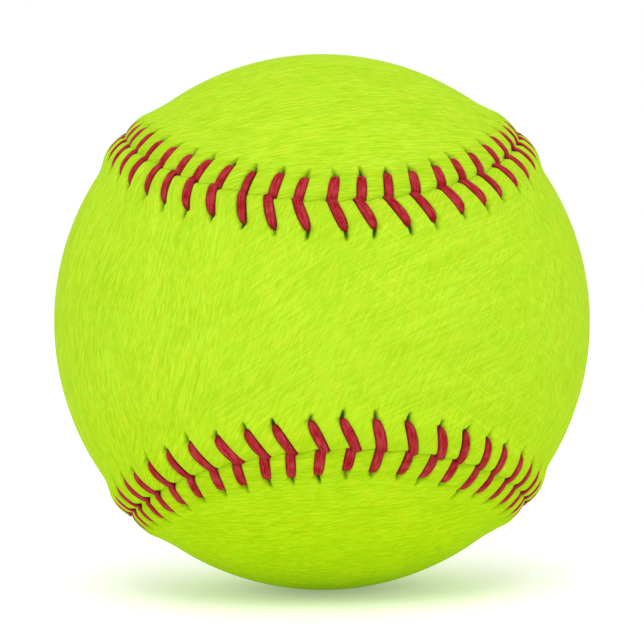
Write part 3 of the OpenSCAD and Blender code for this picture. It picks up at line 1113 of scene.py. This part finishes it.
# Cement: axes that the brush ran round, and noise of the pools it left
CEMENT_LIGHT = (0.72, 0.64, 0.44, 1.0)
CEMENT_DEEP = (0.60, 0.49, 0.28, 1.0)
CEMENT_AXES = ((0.3, 0.2, 0.93), (0.1, 0.3, 0.95))
POOLS = (0.25, 3.0, 0.6)
POOL_SHARE = 0.5
CEMENT_RANGE = (0.35, 0.65)
CEMENT_ROUGH = (0.3, 0.55)
CEMENT_BUMP = (0.6, 0.05)


def cork_material():
    """Rubberised cork: pressed granules of several browns with dark specks between them."""
    material, tree, shader = new_material("rubberised_cork")
    place = millimetres(tree)
    granule = add_node(tree, "TexVoronoi", {"Vector": place, "Scale": GRANULES})
    shade = add_node(tree, "SeparateColor", {0: granule.outputs["Color"]}).outputs[0]
    fine = noise(tree, place, *CORK_GRAIN)
    colour = blend_colour(tree, mix_value(tree, CORK_GRAIN_SHARE, shade, fine), CORK_DEEP, CORK_LIGHT)
    gap = ramp(tree, granule.outputs["Distance"], *GAP_RANGE)
    colour = blend_colour(tree, math_node(tree, "MULTIPLY", gap, GAP_STRENGTH), colour, CORK_GAP)
    height = math_node(tree, "SUBTRACT", fine, gap)
    surface_finish(tree, shader, colour, height, CORK_ROUGH, height, CORK_BUMP)
    return material


def rubber_material(name, light, deep):
    """Moulded rubber with a dull bloom and the fine grain of its mould."""
    material, tree, shader = new_material(name)
    place = millimetres(tree)
    grain = noise(tree, place, *MOULD_GRAIN)
    tone = mix_value(tree, MOULD_GRAIN_SHARE, noise(tree, place, *BLOOM), grain)
    colour = blend_colour(tree, ramp(tree, tone, *RUBBER_RANGE), (*deep, 1.0), (*light, 1.0))
    surface_finish(tree, shader, colour, grain, RUBBER_ROUGH, grain, RUBBER_BUMP)
    return material


def cement_material():
    """Rubber cement, brushed on thin and uneven."""
    material, tree, shader = new_material("brushed_cement")
    place = millimetres(tree)
    brush = hatch(tree, place, *CEMENT_AXES)
    film = mix_value(tree, POOL_SHARE, brush, noise(tree, place, *POOLS))
    colour = blend_colour(tree, ramp(tree, film, *CEMENT_RANGE), CEMENT_DEEP, CEMENT_LIGHT)
    surface_finish(tree, shader, colour, film, CEMENT_ROUGH, film, CEMENT_BUMP)
    return material


def dress(material, *nodes):
    """Gives CAD nodes that keep their own shape a finish."""
    for node in nodes:
        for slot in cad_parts[node].material_slots:
            slot.material = material


dress(cork_material(), "cork_core")
dress(rubber_material("black_rubber", *BLACK_RUBBER), "black_shell_upper", "black_shell_lower")
dress(rubber_material("red_rubber", *RED_RUBBER), "rim_gasket", "red_cover")
dress(cement_material(), "pill_cement", "cover_cement")

# The camera, as fitted to the photograph
CAMERA_TURN = math.radians(-4.014)
CAMERA_RISE = math.radians(0.762)
CAMERA_ROLL = math.radians(-0.904)
CAMERA_AWAY = 8.02 * BALL_R * MM
CAMERA_LENS = 119.2
SENSOR_W = 36.0
CLIP_START = 0.01


def make_camera():
    data = bpy.data.cameras.new("camera")
    data.lens = CAMERA_LENS
    data.sensor_width = SENSOR_W
    data.clip_start = CLIP_START
    camera = bpy.data.objects.new("camera", data)
    bpy.context.scene.collection.objects.link(camera)
    level = math.cos(CAMERA_RISE)
    back = Vector((
        level * math.sin(CAMERA_TURN), -level * math.cos(CAMERA_TURN), math.sin(CAMERA_RISE)
    ))
    side = Vector((0.0, 0.0, 1.0)).cross(back).normalized()
    side.rotate(Matrix.Rotation(CAMERA_ROLL, 3, back))
    up = back.cross(side)
    turn = Matrix((side, up, back)).transposed()
    camera.matrix_world = Matrix.Translation(back * CAMERA_AWAY) @ turn.to_4x4()
    bpy.context.scene.camera = camera


# The floor is a white table that glows a little, and reaches this far each way in millimetres
FLOOR_LIGHT = (0.965, 0.965, 0.965, 1.0)
FLOOR_DEEP = (0.95, 0.95, 0.945, 1.0)
FLOOR_NOISE = (3.0, 2.0)
FLOOR_ROUGH = 0.9
FLOOR_SHINE = 0.1
FLOOR_GLOW = 0.2
FLOOR_REACH = 3000.0
FLOOR_CORNERS = ((-1, -1), (1, -1), (1, 1), (-1, 1))
WHITE = (1.0, 1.0, 1.0, 1.0)
# Even white light from all round, and one soft lamp above the camera, in metres and watts
WORLD_STRENGTH = 1.0
KEY_PLACE = (-0.05, -0.68, 0.84)
KEY_SIZE = 0.6
KEY_POWER = 4.1


def make_floor():
    material, tree, shader = new_material("studio_floor")
    shade = noise(tree, add_node(tree, "TexCoord").outputs["Object"], *FLOOR_NOISE)
    tree.links.new(blend_colour(tree, shade, FLOOR_DEEP, FLOOR_LIGHT), shader.inputs["Base Color"])
    shader.inputs["Roughness"].default_value = FLOOR_ROUGH
    shader.inputs["Specular IOR Level"].default_value = FLOOR_SHINE
    shader.inputs["Emission Color"].default_value = WHITE
    shader.inputs["Emission Strength"].default_value = FLOOR_GLOW
    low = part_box("rear_panel")[0][2] / MM
    corners = np.array([(x * FLOOR_REACH, y * FLOOR_REACH, low) for x, y in FLOOR_CORNERS])
    floor = make_object("floor", corners, [[0, 1, 2, 3]], material)


def make_key():
    data = bpy.data.lights.new("key", "AREA")
    data.shape = "DISK"
    data.size = KEY_SIZE
    data.energy = KEY_POWER
    lamp = bpy.data.objects.new("key", data)
    bpy.context.scene.collection.objects.link(lamp)
    lamp.location = KEY_PLACE
    lamp.rotation_euler = (-Vector(KEY_PLACE)).to_track_quat("-Z", "Y").to_euler()


def make_world():
    world = bpy.data.worlds.new("studio")
    bpy.context.scene.world = world
    world.use_nodes = True
    background = world.node_tree.nodes["Background"]
    background.inputs["Color"].default_value = WHITE
    background.inputs["Strength"].default_value = WORLD_STRENGTH
    bpy.context.scene.view_settings.view_transform = "Standard"


make_camera()
make_floor()
make_world()
make_key()
